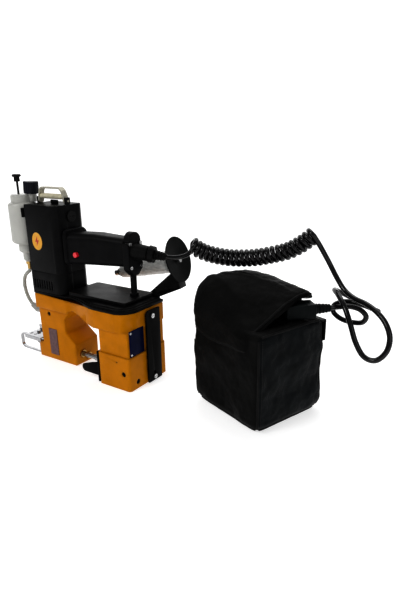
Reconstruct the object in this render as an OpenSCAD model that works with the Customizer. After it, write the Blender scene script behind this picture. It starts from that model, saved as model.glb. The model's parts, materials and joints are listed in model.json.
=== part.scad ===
// Portable bag closer: a hand-held sewing head with its thread stand, oiler,
// curly power cord and battery pouch. Millimetres, +Z up. The origin is the
// centre of the right block's underside. The needle line runs along +X.

/* [Casting] */
// Width of the right block along the machine
block_w = 60; // [56:1:64]
// Depth of the right block
block_d = 84; // [80:1:88]
// Height of the right block
block_h = 50; // [46:1:54]
// Height of the joint between casting and covers
joint_z = 112; // [110:1:114]
// Left end of the casting
leg_left = -176; // [-180:1:-174]
// Wall thickness of the casting
wall = 4; // [3:0.5:5]

/* [Housing] */
// Height of the top of the motor housing
housing_top = 250; // [244:1:254]
// Height of the seam between the vent ring and the motor housing
seam_z = 149; // [146:1:152]
// Wall thickness of the plastic shells
shell = 3; // [2:0.5:4]

/* [Sewing line] */
// Depth position of the needle bar
sew_y = -6; // [-7:0.5:-5]
// Height of the needle bar
needle_z = 17; // [16.5:0.5:17.5]
// Radius of the needle bar
bar_r = 4; // [3:0.5:4]
// Depth position of the presser bar
presser_y = 6; // [5.5:0.5:6.5]
// Height of the presser bar
presser_z = 9.5; // [9.5:0.5:10]
// Radius of the presser bar
presser_r = 3.5; // [3:0.5:3.5]
// Stroke of the needle bar
stroke = 25; // [20:1:26]

/* [Drive] */
// Gear module
gear_module = 0.8; // [0.8:0.1:0.8]
// Teeth on the motor pinion
pinion_teeth = 12; // [12:1:12]
// Teeth on the first gear of the countershaft
wheel_teeth = 50; // [50:1:50]
// Teeth on the countershaft pinion
second_pinion_teeth = 20; // [20:1:20]
// Teeth on the crankshaft gear
crank_gear_teeth = 42; // [42:1:42]
// Radius of both timing pulleys
pulley_r = 12; // [11:0.5:13]

/* [Cord] */
// Diameter of the power cord
cord_d = 6.5; // [6:0.5:7]
// Outer diameter of the curly stretch
coil_d = 24; // [22:1:24]

/* [Battery pouch] */
// Width of the pouch front
pouch_w = 126; // [120:1:130]
// Depth of the pouch
pouch_d = 112; // [106:1:116]
// Height of the pouch's side panels
pouch_h = 128; // [124:1:132]
// Turn of the pouch on the table
pouch_turn = -20; // [-24:1:-16]

/* [Hidden] */
$fn = 48;
gap = 0.3;
run = 0.05;
orange = [0.85, 0.48, 0.05];
black = [0.07, 0.07, 0.08];
steel = [0.72, 0.73, 0.75];
brass = [0.78, 0.62, 0.3];

// Casting outline seen from above
leg_front = -21;
leg_back = 28;
band_front = -27;
notch_x = -106;
swell_x = -28;
corner_r = 26;
band_right = 29;
band_back = 41;
column = [-27.6, -39.5, 28, 40];
looper_pivot = [8, 22];
web_z = 84;
pocket_z = 96;
low_web = [46, 52];
floor_z = 3;

// Shaft axes, seen from above
motor_xy = [-142.5, -0.5];
centre_distance = gear_module * (pinion_teeth + wheel_teeth) / 2;
counter_xy = [motor_xy[0] + centre_distance, motor_xy[1]];
looper_xy = [0, motor_xy[1]];
shaft_r = 4;
bearing_r = 9.5;

// Housing outline seen from above
housing_left = leg_left;
housing_front = -27;
housing_back = 27;
housing_right_low = -102;
housing_right_top = -110;
housing_corner_r = 14;

// Handle
grip_left = -104;
grip_right = -6;
grip_low = 165;
grip_high = 208;
post_xy = [-2, 13.6];
button_at = [-86, -15, 180];
button_travel = 3;

// Cable gland: its root, its turn about Z and its dip
gland_root = [4.4, 14.5, 189.3];
gland_turn = 20;
gland_dip = 8;
gland_length = 45;

// Thread stand: the rod passes through the disc's centre, tilted up to the right
disc_at = [30, 79.5, 167.5];
rod_turn = 7;
rod_tilt = -15.5;

// Oil bottle
bottle_xy = [-208, -5];
bottle_r = 21.75;
spout_at = [-194.5, 4, 260.8];
spout_tilt = 4;
plunger_xy = [-214, -5];
fitting_at = [-197, -8, 75.2];
fitting_tilt = 58;
oil_route = [[-208, -5, 142.9], [-209.5, -5.5, 138.5], [-214, -6.8, 135], [-219, -7.6, 130],
    [-222.5, -8, 122], [-223.5, -8, 112], [-221.5, -8, 101], [-217, -8, 91.5],
    [-211.5, -8, 85], [-207.7, -8, 81.9], [-203.4, -8, 79.2]];

// Hinge of the hanger bail
hinge_y = 2;
hinge_z = housing_top + 5;
bail_left = -171.2;
bail_right = -114.3;
bail_top = 274.5;

// Cord routes, chosen by hand
lead_route = [[41.6, 28, 183.7], [48.1, 30.4, 182.8], [60, 35, 184.5], [70, 39.5, 190.5],
    [80, 44, 201]];
coil_route = [[80, 44, 201], [92, 50, 192.5], [108, 56, 187.5], [128, 62, 185], [148, 68, 185.5],
    [166, 74, 187.5], [185, 80, 192], [203, 86, 197.5], [219, 92, 207], [233, 98, 219]];
tail_route = [[233, 98, 219], [242, 99, 206], [255, 98, 186], [268, 94, 168], [281, 88, 155],
    [296, 80, 149], [312, 72, 147], [327, 64, 142], [340, 56, 133], [348, 49, 119], [347, 44, 103],
    [337, 41, 91], [323, 42, 92], [311, 46, 106], [301, 53, 125], [290, 62, 142], [277, 75, 152],
    [267, 91, 153], [270, 107, 146], [284, 114, 138], [300, 113, 132], [312, 111, 129],
    [320, 104, 129.5], [317, 96, 133.5], [306, 92, 138], [291, 92, 140], [276, 96, 137],
    [265, 99, 129.5], [266, 97, 120.5], [279, 91, 115.5], [296, 85, 116], [308, 81, 120],
    [312, 79, 129], [304, 78.5, 136.5], [291, 77.5, 138.5], [280.5, 73.3, 137.3],
    [270.7, 65.8, 136.5]];
plug_at = [241, 39, 136.5];
plug_turn = 42;

// Battery pouch: centre of its footprint
pouch_xy = [191, 27];
pouch_wall = 3;
pouch_corner_r = 10;

function arc(centre, r, from, to, steps = 8) =
    [for (i = [0:steps]) let (a = from + (to - from) * i / steps)
        [centre[0] + r * cos(a), centre[1] + r * sin(a)]];
function ease(t) = t * t * (3 - 2 * t);
function unit(v) = v / norm(v);

// Outline of the bridge, drawn in by k on every side
function bridge_outline(k = 0) = concat(
    [[leg_left + k, band_front + k], [notch_x - k, band_front + k]],
    [for (i = [0:12]) let (t = i / 12)
        [notch_x + 6 + t * (swell_x - notch_x - 6), -24 - 18 * ease(t) + k]],
    arc([band_right - corner_r, corner_r - 42], corner_r - k, -90, 0),
    [[band_right - k, band_back - k], [leg_left + k, band_back - k]]);

module rounded_prism(x0, y0, x1, y1, z0, z1, r) {
    translate([0, 0, z0]) linear_extrude(z1 - z0) {
        translate([x0 + r, y0]) square([x1 - x0 - 2 * r, y1 - y0]);
        translate([x0, y0 + r]) square([x1 - x0, y1 - y0 - 2 * r]);
        for (x = [x0 + r, x1 - r], y = [y0 + r, y1 - r]) translate([x, y]) circle(r);
    }
}

// Extrudes an XZ outline along Y
module along_y(points, y0, y1) {
    translate([0, y1, 0]) rotate([90, 0, 0]) linear_extrude(y1 - y0) polygon(points);
}

module rod_x(x0, x1, y, z, r) {
    translate([x0, y, z]) rotate([0, 90, 0]) cylinder(h = x1 - x0, r = r);
}

module rod_y(x, y0, y1, z, r) {
    translate([x, y0, z]) rotate([-90, 0, 0]) cylinder(h = y1 - y0, r = r);
}

module ring(xy, z0, z1, r_out, r_in) {
    translate([xy[0], xy[1], z0]) difference() {
        cylinder(h = z1 - z0, r = r_out);
        translate([0, 0, -1]) cylinder(h = z1 - z0 + 2, r = r_in);
    }
}

module post(xy, z0, z1, r) {
    translate([xy[0], xy[1], z0]) cylinder(h = z1 - z0, r = r);
}

// A toothed wheel: trapezoid teeth on a root disc
module toothed_wheel(xy, z0, z1, teeth, bore_r, phase = 0) {
    pitch_r = gear_module * teeth / 2;
    root_r = pitch_r - 1.2 * gear_module;
    tip_r = pitch_r + 0.8 * gear_module;
    step = 360 / teeth;
    translate([xy[0], xy[1], z0]) rotate(phase) difference() {
        linear_extrude(z1 - z0) polygon([for (i = [0:teeth - 1]) each [
            root_r * [cos((i - 0.32) * step), sin((i - 0.32) * step)],
            tip_r * [cos((i - 0.13) * step), sin((i - 0.13) * step)],
            tip_r * [cos((i + 0.13) * step), sin((i + 0.13) * step)],
            root_r * [cos((i + 0.32) * step), sin((i + 0.32) * step)]]]);
        translate([0, 0, -1]) cylinder(h = z1 - z0 + 2, r = bore_r);
    }
}

// A round tube swept along a route, its rings carried without twist
module swept_tube(route, r, sides) {
    last = len(route) - 1;
    tangents = [for (i = [0:last]) unit(route[min(i + 1, last)] - route[max(i - 1, 0)])];
    first = unit(cross(tangents[0], [0.3, 0, 1]));
    normals = [for (i = 0, n = first; i <= last; i = i + 1,
        n = i <= last ? unit(n - (n * tangents[i]) * tangents[i]) : n) n];
    points = [for (i = [0:last]) let (b = cross(tangents[i], normals[i]))
        for (s = [0:sides - 1]) let (a = 360 * s / sides)
            route[i] + r * (cos(a) * normals[i] + sin(a) * b)];
    faces = concat(
        [[for (s = [0:sides - 1]) s]],
        [for (i = [0:last - 1], s = [0:sides - 1]) let (t = (s + 1) % sides)
            [i * sides + s, (i + 1) * sides + s, (i + 1) * sides + t, i * sides + t]],
        [[for (s = [sides - 1:-1:0]) last * sides + s]]);
    polyhedron(points = points, faces = faces, convexity = 8);
}

// Places children on the cable gland's axis, which becomes +Z
module on_gland() {
    translate(gland_root) rotate([0, 90 + gland_dip, gland_turn]) children();
}

// Places children on the thread stand's axis, which becomes +Z
module on_rod() {
    translate(disc_at) rotate([0, 90 + rod_tilt, rod_turn]) children();
}

module on_pouch() {
    translate([pouch_xy[0], pouch_xy[1], 0]) rotate(pouch_turn) children();
}

// --- Frame -----------------------------------------------------------------

module body_casting() color(orange) {
    casting_shell();
    // Pivot stud of the looper, hanging from the block's ceiling
    post(looper_pivot, needle_z + 0.2, 41, 2);
    post(looper_pivot, needle_z + 0.2, needle_z + 2.6, 3.5);
}

module casting_shell() difference() {
    union() {
        along_y([[leg_left, 0], [-100.5, 0], [-99.5, 37], [-120, 52.5], [-119.5, 75],
            [-107, 88], [-107, 94], [leg_left, 94]], leg_front, leg_back);
        translate([leg_left - 10, leg_front, 0]) cube([10.5, 6, 27]);
        intersection() {
            translate([0, 0, 80]) linear_extrude(joint_z - 80) polygon(bridge_outline());
            along_y([[-180, 88], [-107, 88], [-101, 93], [-93, 94], [-60, 88], [-35, 85],
                [40, 85], [40, 120], [-180, 120]], -50, 50);
        }
        rounded_prism(column[0], column[1], column[2], column[3], block_h - 1, 86, 2.5);
        rounded_prism(-block_w / 2, -block_d / 2, block_w / 2, block_d / 2, 0, block_h, 5);
    }
    translate([0, 0, pocket_z]) linear_extrude(30) polygon(bridge_outline(wall));
    along_y([[leg_left + wall, floor_z], [-112, floor_z], [-112, 34], [-124, 44],
        [-124, low_web[0]], [leg_left + wall, low_web[0]]], leg_front + 3.5, leg_back - 3.5);
    translate([leg_left + wall, leg_front + 3.5, low_web[1]])
        cube([-124 - leg_left - wall, leg_back - leg_front - 7, web_z - low_web[1]]);
    translate([-24, -36, wall]) cube([48, 72, 40 - wall]);
    translate([-23, -35, 46]) cube([46, 70, web_z - 46]);
    // Bearing seats and shaft clearances
    for (xy = [motor_xy, looper_xy]) {
        post(xy, pocket_z - 6, pocket_z + 1, bearing_r);
        post(xy, web_z - 1, pocket_z, shaft_r + 1.5);
    }
    post(motor_xy, low_web[0] - 1, low_web[1] + 1, bearing_r);
    post(looper_xy, 39, 47, bearing_r);
    post(counter_xy, pocket_z - 3, pocket_z + 1, 5);
    // Bar passages
    for (x = [[leg_left - 12, leg_left + 5], [-113, -98]]) {
        rod_x(x[0], x[1], sew_y, needle_z, 6);
        rod_x(x[0], x[1], presser_y, presser_z, 5.5);
    }
    // Seat of the name plate and its rivets
    translate([28, -37.2, 50.6]) cube([3, 31.2, 38.8]);
    for (z = [54, 86]) rod_x(25, 29, -34, z, 1.05);
    // Opening for the feed dog and looper, and the one under the side cover
    translate([-31, -26, 5]) cube([8, 42, 24]);
    translate([23, 2, 14]) cube([8, 20, 26]);
    // Oil and fixing holes
    rod_y(-153.6, leg_front - 1, leg_front + 4, 78.6, 3.5);
    rod_y(18.8, -block_d / 2 - 1, -34, 24.9, 3.75);
    rod_y(6.8, -block_d / 2 - 1, -34, 40.9, 1.25);
    rod_x(22, 31, -24, 10, 4);
    rod_x(leg_left - 1, leg_left + 5, fitting_at[1], fitting_at[2], 3);
}

module housing_body(z0, z1, k) {
    corner_x = housing_right_low - 5 - k;
    intersection() {
        translate([0, 0, z0]) linear_extrude(z1 - z0) polygon(concat(
            [[housing_left + k, housing_front + k]],
            arc([corner_x - housing_corner_r, housing_front + k + housing_corner_r],
                housing_corner_r, -90, 0),
            [[corner_x, -7], [-108.5 - k, -5], [-108.5 - k, housing_back - 6 - k],
            [-112.5 - k, housing_back - k], [housing_left + 5, housing_back - k],
            [housing_left + k, housing_back - 5]]));
        along_y([[housing_left, 100], [housing_right_low - k, 100],
            [housing_right_low - k, joint_z], [housing_right_top - k, 260], [housing_left, 260]],
            -40, 40);
    }
}

module motor_housing() color(black) difference() {
    housing_body(seam_z + 0.1, housing_top, 0);
    housing_body(seam_z + 4, housing_top - 2, shell);
    post(motor_xy, seam_z - 1, seam_z + 6, 12);
    for (x = [-180, -120]) rod_x(x, x + 20, motor_xy[1] + 3, 233, 7);
}

module vent_housing() color(black) difference() {
    housing_body(joint_z + 4, seam_z - 0.1, 0);
    housing_body(joint_z + 9, seam_z + 1, shell);
    post(motor_xy, joint_z + 3, joint_z + 10, 6.5);
    for (i = [0:7]) translate([-171 + 5.5 * i, housing_front - 1, 122]) cube([2.5, shell + 2, 14]);
    for (i = [0:7]) translate([-171 + 5.5 * i, housing_back - shell - 1, 122])
        cube([2.5, shell + 2, 14]);
}

module top_cover() color(black) difference() {
    union() {
        translate([0, 0, joint_z]) linear_extrude(4) polygon(bridge_outline());
        difference() {
            union() {
                translate([0, 0, joint_z + 4]) linear_extrude(1.6) polygon(bridge_outline(2.5));
                translate([0, 0, joint_z + 5.6]) linear_extrude(1.4) polygon(bridge_outline(6.5));
            }
            translate([-200, -60, joint_z + 4]) cube([98.2, 120, 8]);
        }
    }
    post(motor_xy, joint_z - 1, joint_z + 5, 6.5);
    post(counter_xy, joint_z - 1, joint_z + 3, 5);
}

module raised_plate() color([0.12, 0.12, 0.13])
    rounded_prism(-101, -24, 13, 39, joint_z + 7, joint_z + 12, 5);

// --- Handle ----------------------------------------------------------------

// Rounded cross-section slab of the grip, thin along X
module grip_slab(x, y0, y1, z0, z1) {
    for (y = [y0 + 9, y1 - 9], z = [z0 + 9, z1 - 9]) rod_x(x, x + 1, y, z, 9);
}

module handle_grip() color(black) difference() {
    union() {
        hull() grip_slab(grip_left + 3, -17, 22, grip_low - 1, grip_high + 2);
        hull() {
            grip_slab(grip_left, -21, 25, grip_low - 2, grip_high + 8);
            grip_slab(grip_left + 3, -19, 24, grip_low - 1, grip_high + 7);
        }
        hull() {
            grip_slab(grip_left + 3, -17, 22, grip_low - 1, grip_high + 2);
            grip_slab(-60, -8, 26, grip_low, grip_high + 3);
        }
        hull() {
            grip_slab(-60, -8, 26, grip_low, grip_high + 3);
            grip_slab(grip_right - 1, -1, 28, grip_low + 2, grip_high);
        }
    }
    translate([-96, -3, 172]) cube([50, 18, 30]);
    rod_y(button_at[0], -30, 0, button_at[2], 4.2);
}

module handle_end_plate() color(black) {
    difference() {
        translate([grip_right + 0.1, 0, 0]) rotate([90, 0, 90]) linear_extrude(10.3) {
            translate([post_xy[1] - 15, 172]) square([30, 30]);
            translate([post_xy[1], 205]) circle(12);
            translate([post_xy[1] - 15, 164]) square([30, 9]);
            polygon([[post_xy[1] - 15, 165], [post_xy[1] - 5, 155], [post_xy[1] + 5, 155],
                [post_xy[1] + 15, 165]]);
        }
        rod_x(-7, 5, gland_root[1], gland_root[2], 7);
        for (dy = [-10.8, 10.8], z = [167.5, 201]) rod_x(-7, 5, post_xy[1] + dy, z, 1.6);
    }
    post(post_xy, joint_z + 12, 158, 4.6);
    post(post_xy, joint_z + 12, joint_z + 16, 6.5);
}

// Slotted pan-head screw along +X, head at x
module screw_x(x, y, z, head_r, length) difference() {
    union() {
        rod_x(x, x + 1.6, y, z, head_r);
        rod_x(x - length, x, y, z, head_r * 0.5);
    }
    translate([x + 0.9, y - head_r - 1, z - 0.4]) cube([2, 2 * head_r + 2, 0.8]);
}

module cover_screws() color(steel) {
    for (dy = [-10.8, 10.8], z = [167.5, 201])
        screw_x(4.5, post_xy[1] + dy, z, 2.6, 10);
    screw_x(35.1, 7, 101.5, 3.6, 4);
    screw_x(35.1, 7.5, 7, 3.6, 2.5);
}

module cable_gland() color(black) on_gland() difference() {
    union() {
        translate([0, 0, -5]) cylinder(h = 23, r1 = 12, r2 = 10.6);
        translate([0, 0, 18]) cylinder(h = 2.5, r = 8);
        translate([0, 0, 20.4]) cylinder(h = 7.6, r1 = 12.2, r2 = 11.4);
    }
    translate([0, 0, -9]) cylinder(h = 46, r = 6.2);
    // Cut flush with the end plate
    rotate([0, -gland_dip, 0]) rotate([gland_turn, 0, 0]) translate([-30, -30, -40])
        cube([60, 60, 40]);
}

module strain_relief() color(black) on_gland() difference() {
    union() {
        translate([0, 0, 2]) cylinder(h = gland_length - 2, r1 = 6.1, r2 = 4.6);
        for (i = [0:3]) translate([0, 0, 29 + 3.8 * i]) cylinder(h = 2, r = 7 - 0.45 * i);
    }
    translate([0, 0, -1]) cylinder(h = gland_length + 3, r = 3.3);
}

module switch_body() color([0.1, 0.1, 0.1]) {
    translate([button_at[0] - 8, 0.5, button_at[2] - 8]) cube([16, 12, 16]);
    translate([button_at[0] + 2, 12.5, button_at[2] - 4]) cube([0.8, 2.3, 8]);
    translate([button_at[0] - 4, 12.5, button_at[2] - 4]) cube([0.8, 2.3, 8]);
}

module power_button() color([0.8, 0.05, 0.1]) union() {
    rod_y(button_at[0], -17, -5, button_at[2], 3.9);
    rod_y(button_at[0], -5, -3.1, button_at[2], 2);
}

// --- Covers and plates -----------------------------------------------------

module side_cover_plate() color(black) difference() {
    union() {
        translate([32, 0, 0]) rotate([90, 0, 90]) linear_extrude(3)
            polygon(concat([[-5.5, 1], [24, 1], [24, 110]], arc([1.5, 103], 7, 90, 180)));
        translate([29.05, 1, 95]) cube([3.4, 12, 12]);
        translate([30.2, 21.5, 1]) cube([2.3, 2.5, 108]);
    }
    rod_x(29, 36, 7, 101.5, 1.9);
    translate([29, 5.6, 7]) cube([8, 3.8, 9]);
    rod_x(29, 37, 7.5, 7, 1.9);
}

module name_plate() color([0.02, 0.03, 0.16]) difference() {
    translate([28.05, -36.8, 51]) cube([1.2, 30.3, 38]);
    for (z = [54, 86]) rod_x(27, 31, -34, z, 1.1);
}

module plate_rivets() color(steel) for (z = [54, 86]) {
    rod_x(26, 29.3, -34, z, 1);
    translate([29.3, -34, z]) rotate([0, 90, 0]) cylinder(h = 0.9, r1 = 2, r2 = 1.1);
}

module label_plate() color([0.35, 0.22, 0.28])
    translate([-157.5, leg_front - 0.85, 10]) cube([18.5, 0.8, 44]);

module throat_plate() color(black) difference() {
    translate([-block_w / 2 - 3, -41, 1]) cube([2.95, 80, 48]);
    rod_x(-35, -28, sew_y, needle_z, 2.2);
    for (dz = [-8, 4]) translate([-36, -21, needle_z + dz]) cube([8, 26, 4]);
    for (y = [-34, 32], z = [8, 42]) rod_x(-35, -29, y, z, 1.6);
}

module bag_guide() color(black)
    along_y(concat([[-33.1, 10], [-45, 10]], arc([-60, 16.5], 6.5, 270, 130, 6),
        [[-45, 28], [-33.1, 31]]), -40, -37.6);

// --- Motor -----------------------------------------------------------------

module motor_stator() color([0.5, 0.5, 0.52]) union() {
    ring(motor_xy, seam_z + 4.1, seam_z + 9, 21, 6);
    ring(motor_xy, seam_z + 8.9, 214, 21, 18.5);
    ring(motor_xy, 213.9, 217, 21, 12);
}

module brush_caps() color([0.1, 0.1, 0.11]) for (side = [-1, 1]) {
    x_face = side < 0 ? leg_left : -107.9;
    tip = motor_xy[0] + side * 9.5;
    y = motor_xy[1] + 3;
    if (side > 0) difference() {
        union() {
            rod_x(tip, x_face + 0.1, y, 233, 5.5);
            rod_x(x_face + 0.05, x_face + 1.6, y, 233, 8);
        }
        translate([x_face + 0.7, y - 5, 232.2]) cube([3, 10, 1.6]);
    }
    if (side < 0) difference() {
        union() {
            rod_x(x_face - 0.1, tip, y, 233, 5.5);
            rod_x(x_face - 1.6, x_face - 0.05, y, 233, 8);
        }
        translate([x_face - 3.7, y - 5, 232.2]) cube([3, 10, 1.6]);
    }
}

module motor_rotor() color([0.55, 0.35, 0.2]) union() {
    post(motor_xy, 105, 245.5, 3);
    post(motor_xy, 164, 206, 17.8);
    post(motor_xy, 158.5, 211, 13);
    post(motor_xy, 226, 240, 9);
}

module cooling_fan() color([0.15, 0.15, 0.16]) {
    ring(motor_xy, 126, 142, 6, 3);
    ring(motor_xy, 140, 142, 20, 5.9);
    for (i = [0:8]) translate([motor_xy[0], motor_xy[1], 126]) rotate(40 * i)
        translate([5.8, -0.8, 0]) cube([14, 1.6, 14.1]);
}

module motor_pinion() color(steel)
    toothed_wheel(motor_xy, 106, 111.5, pinion_teeth, 3);

module countershaft() color(steel) union() {
    post(counter_xy, 93.2, 114.8, 3);
    toothed_wheel(counter_xy, 106.3, 111, wheel_teeth, 1, 180 + 180 / wheel_teeth);
    toothed_wheel(counter_xy, 96.4, 99.2, second_pinion_teeth, 1, 180 + 180 / second_pinion_teeth);
}

module crankshaft() color([0.6, 0.6, 0.62]) union() {
    post(motor_xy, needle_z + 9.5, 104.6, shaft_r);
    post(motor_xy, needle_z + 9.5, needle_z + 14, stroke / 2 + 4);
    post([motor_xy[0] + stroke / 2, motor_xy[1]], needle_z + 5.4, needle_z + 10, 2.5);
}

module crank_gear() color(steel)
    toothed_wheel(motor_xy, 96.3, 99.3, crank_gear_teeth, shaft_r);

module pulley(xy) {
    ring(xy, 100, 105, pulley_r - 1, shaft_r);
    ring(xy, 99.4, 100, pulley_r + 0.8, shaft_r);
}

module drive_pulley() color([0.75, 0.76, 0.78]) pulley(motor_xy);

module driven_pulley() color([0.75, 0.76, 0.78]) pulley(looper_xy);

module timing_belt() color([0.08, 0.08, 0.08]) {
    r_in = pulley_r - 1 + 0.25;
    difference() {
        belt_loop(100.3, 104.7, r_in + 1.6);
        belt_loop(99, 106, r_in);
    }
}

module belt_loop(z0, z1, r) {
    post(motor_xy, z0, z1, r);
    post(looper_xy, z0, z1, r);
    translate([motor_xy[0], motor_xy[1] - r, z0])
        cube([looper_xy[0] - motor_xy[0], 2 * r, z1 - z0]);
}

// Ball bearings and plain bushes of the upright shafts
module shaft_bearings() color([0.8, 0.8, 0.82]) {
    for (xy = [motor_xy, looper_xy]) ring(xy, pocket_z - 6, pocket_z, bearing_r - 0.02, shaft_r + run);
    ring(motor_xy, low_web[0], low_web[1], bearing_r - 0.02, shaft_r + run);
    ring(looper_xy, 40, 46, bearing_r - 0.02, shaft_r + run);
    ring(counter_xy, pocket_z - 3, pocket_z, 4.98, 3 + run);
    ring(counter_xy, joint_z, joint_z + 3, 4.98, 3 + run);
    ring(motor_xy, joint_z + 0.5, joint_z + 6, 6.48, 3 + run);
    ring(motor_xy, seam_z + 1, seam_z + 4, 11.98, 3 + run);
    ring(motor_xy, 240.5, housing_top - 2, 12, 3 + run);
}

// --- Sewing parts ----------------------------------------------------------

// The two bushes of one bar, in the left and right walls of the leg
module bush_pair(y, z, r_out, r_in) difference() {
    union() {
        rod_x(leg_left - 2, leg_left + 7, y, z, r_out);
        rod_x(-114, -98, y, z, r_out);
    }
    rod_x(leg_left - 5, -90, y, z, r_in);
}

module bar_bushes() color(brass) {
    bush_pair(sew_y, needle_z, 5.98, bar_r + run);
    bush_pair(presser_y, presser_z, 5.48, presser_r + run);
}

module needle_bar() color(steel) difference() {
    union() {
        rod_x(-205, -62, sew_y, needle_z, bar_r);
        translate([-138, sew_y - 4.5, needle_z - 0.5]) cube([16, 30, 5.5]);
        rod_x(-70, -62, sew_y, needle_z, bar_r + 1.2);
    }
    translate([-133, -15, needle_z + 1]) cube([6, 29.5, 5]);
    rod_x(-66, -60, sew_y, needle_z, 1);
}

module needle() color([0.85, 0.86, 0.88]) union() {
    rod_x(-66, -24, sew_y, needle_z, 0.99);
    translate([-24, sew_y, needle_z]) rotate([0, 90, 0]) cylinder(h = 7, r1 = 0.99, r2 = 0.15);
}

module thread_takeup() color([0.78, 0.79, 0.8]) difference() {
    plate_z = 31;
    union() {
        translate([-218, -24, plate_z]) cube([39, 32, 1.5]);
        translate([-218, -24, plate_z - 5]) cube([39, 1.5, 5.1]);
        translate([-218, 6.5, plate_z]) cube([39, 1.5, 9]);
        post([-204, sew_y], plate_z + 1.4, plate_z + 4.5, 3);
        translate([-192, sew_y - 4.5, needle_z + bar_r + 0.02]) cube([12, 9, plate_z - needle_z - bar_r]);
    }
    for (x = [-210, -200]) post([x, sew_y - 10], plate_z - 1, plate_z + 3, 2.6);
}

module presser_bar() color(steel) union() {
    rod_x(-190, -40, presser_y, presser_z, presser_r);
    rod_x(-150, -146, presser_y, presser_z, 5.8);
}

// Coil spring round the presser bar, behind its collar
module presser_spring() color(steel) {
    turns = 7;
    steps = 14;
    x0 = -159.8;
    x1 = -151;
    swept_tube([for (i = [0:turns * steps]) let (a = 360 * i / steps, t = i / (turns * steps))
        [x0 + (x1 - x0) * t, presser_y + 5 * cos(a), presser_z + 5 * sin(a)]], 0.7, 6);
}

module presser_foot() color([0.82, 0.83, 0.85]) difference() {
    union() {
        translate([0, 0, 5]) linear_extrude(22) polygon([[-33.6, 14], [-33.6, -20],
            [-36, -25], [-41, -29], [-50, -32.5], [-50.6, -31], [-42.5, -27.5], [-38, -24],
            [-35.8, -19], [-35.8, 14]]);
        translate([-46, presser_y - 6, presser_z - 6]) cube([10.3, 12, 13]);
        translate([-39, sew_y - 12, presser_z + 2]) cube([3.3, 24, 6]);
    }
    rod_x(-50, -40, presser_y, presser_z, presser_r + 0.01);
    translate([-48, sew_y - 3.5, needle_z - 3.5]) cube([20, 7, 7]);
    translate([-60, -40, 2]) cube([24, 18, 6]);
    translate([-60, -40, 19]) cube([24, 18, 10]);
}

module lifter_loop() color([0.8, 0.81, 0.82]) difference() {
    union() {
        rounded_loop(-238, 3, 30);
        translate([-190, sew_y - 12, 3]) cube([2.5, 5.5, 20]);
        translate([-190, sew_y - 12, 4]) cube([2.5, 24, 8]);
        rod_x(-190, -187.5, presser_y, presser_z, 6.2);
    }
    rod_x(-191, -187, presser_y, presser_z, presser_r + 0.01);
}

// Flat strip bent into a U: lower limb, outer end, upper limb
module rounded_loop(x0, z0, z1) {
    y0 = sew_y - 12;
    t = 2.4;
    difference() {
        along_y(concat(arc([x0 + 8, z0 + 8], 8, 270, 180, 6), arc([x0 + 8, z1 - 8], 8, 180, 90, 6),
            [[-206, z1], [-190, 24.5], [-187.5, 24.5], [-187.5, z0]]), y0, y0 + 5);
        along_y(concat(arc([x0 + 8, z0 + 8], 8 - t, 270, 180, 6),
            arc([x0 + 8, z1 - 8], 8 - t, 180, 90, 6),
            [[-206.6, z1 - t], [-190, 24.5 - t], [-190, z0 + t]]), y0 - 1, y0 + 6);
    }
}

module looper_shaft() color([0.6, 0.6, 0.62]) union() {
    post(looper_xy, needle_z + 9, 104.6, shaft_r);
    post(looper_xy, needle_z + 9, needle_z + 12.5, 8);
    post([looper_xy[0] + 4, looper_xy[1]], needle_z + 6.4, needle_z + 10, 2);
}

module looper() color([0.75, 0.76, 0.78]) difference() {
    looper_z = needle_z + 3;
    union() {
        translate([0, 0, looper_z]) linear_extrude(3) polygon([[12, 24], [12, 16], [7, -6], [1, -6],
            [-8, -2], [-21, -3], [-21, -1], [-8, 5], [4, 24]]);
        ring(looper_pivot, looper_z, looper_z + 6, 5, 2 + run);
    }
    post(looper_pivot, looper_z - 1, looper_z + 10, 2 + run);
    translate([1.5, -3.2, looper_z + 1]) cube([5, 5.4, 3]);
}

module feed_dog() color([0.6, 0.6, 0.62]) difference() {
    union() {
        translate([-29.8, -20, needle_z - 11.9]) cube([4.3, 24, 23.8]);
        for (dz = [-7.6, 4.4]) along_teeth(needle_z + dz);
    }
    translate([-31, -14, needle_z - 3]) cube([7, 14, 6]);
}

// A row of feed teeth reaching through the throat plate
module along_teeth(z) {
    translate([0, 0, z]) linear_extrude(3.2) polygon(concat([[-29, 1], [-29, -17]],
        [for (i = [0:8]) each [[-32.9, -17 + 2 * i], [-32, -16 + 2 * i]]], [[-32.9, 1]]));
}

// --- Oiler -----------------------------------------------------------------

module oil_bottle() color([0.88, 0.88, 0.84]) difference() {
    union() {
        translate([bottle_xy[0], bottle_xy[1], 0]) rotate_extrude() polygon([[0, 155], [5, 155],
            [8, 159], [8, 169], [13, 173], [13, 184], [bottle_r - 1.5, 187], [bottle_r, 190],
            [bottle_r, 246], [bottle_r - 1.5, 248.5], [16.5, 250], [16.5, 260], [14.5, 262], [0, 262],
            [0, 260], [13.5, 260], [14.2, 258.5], [14.2, 248.5], [bottle_r - 3, 246.5],
            [bottle_r - 2, 244], [bottle_r - 2, 191], [bottle_r - 3, 189], [11, 186],
            [11, 174.5], [6.2, 170], [6.2, 160], [4, 157.5], [0, 157.5]]);
        on_spout() translate([0, 0, -10]) cylinder(h = 23, r = 7.8);
    }
    on_spout() translate([0, 0, -14]) cylinder(h = 30, r = 5.5);
    post(plunger_xy, 256, 266, 1.65);
}

module on_spout() {
    translate(spout_at) rotate([0, spout_tilt, 0]) children();
}

module oil_cap() color([0.08, 0.08, 0.1]) on_spout() difference() {
    union() {
        translate([0, 0, 2.4]) cylinder(h = 18, r = 10.8);
        for (i = [0:17]) rotate(20 * i) translate([10.4, -0.6, 3]) cube([1, 1.2, 16.5]);
    }
    translate([0, 0, 1]) cylinder(h = 14, r = 7.9);
}

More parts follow.
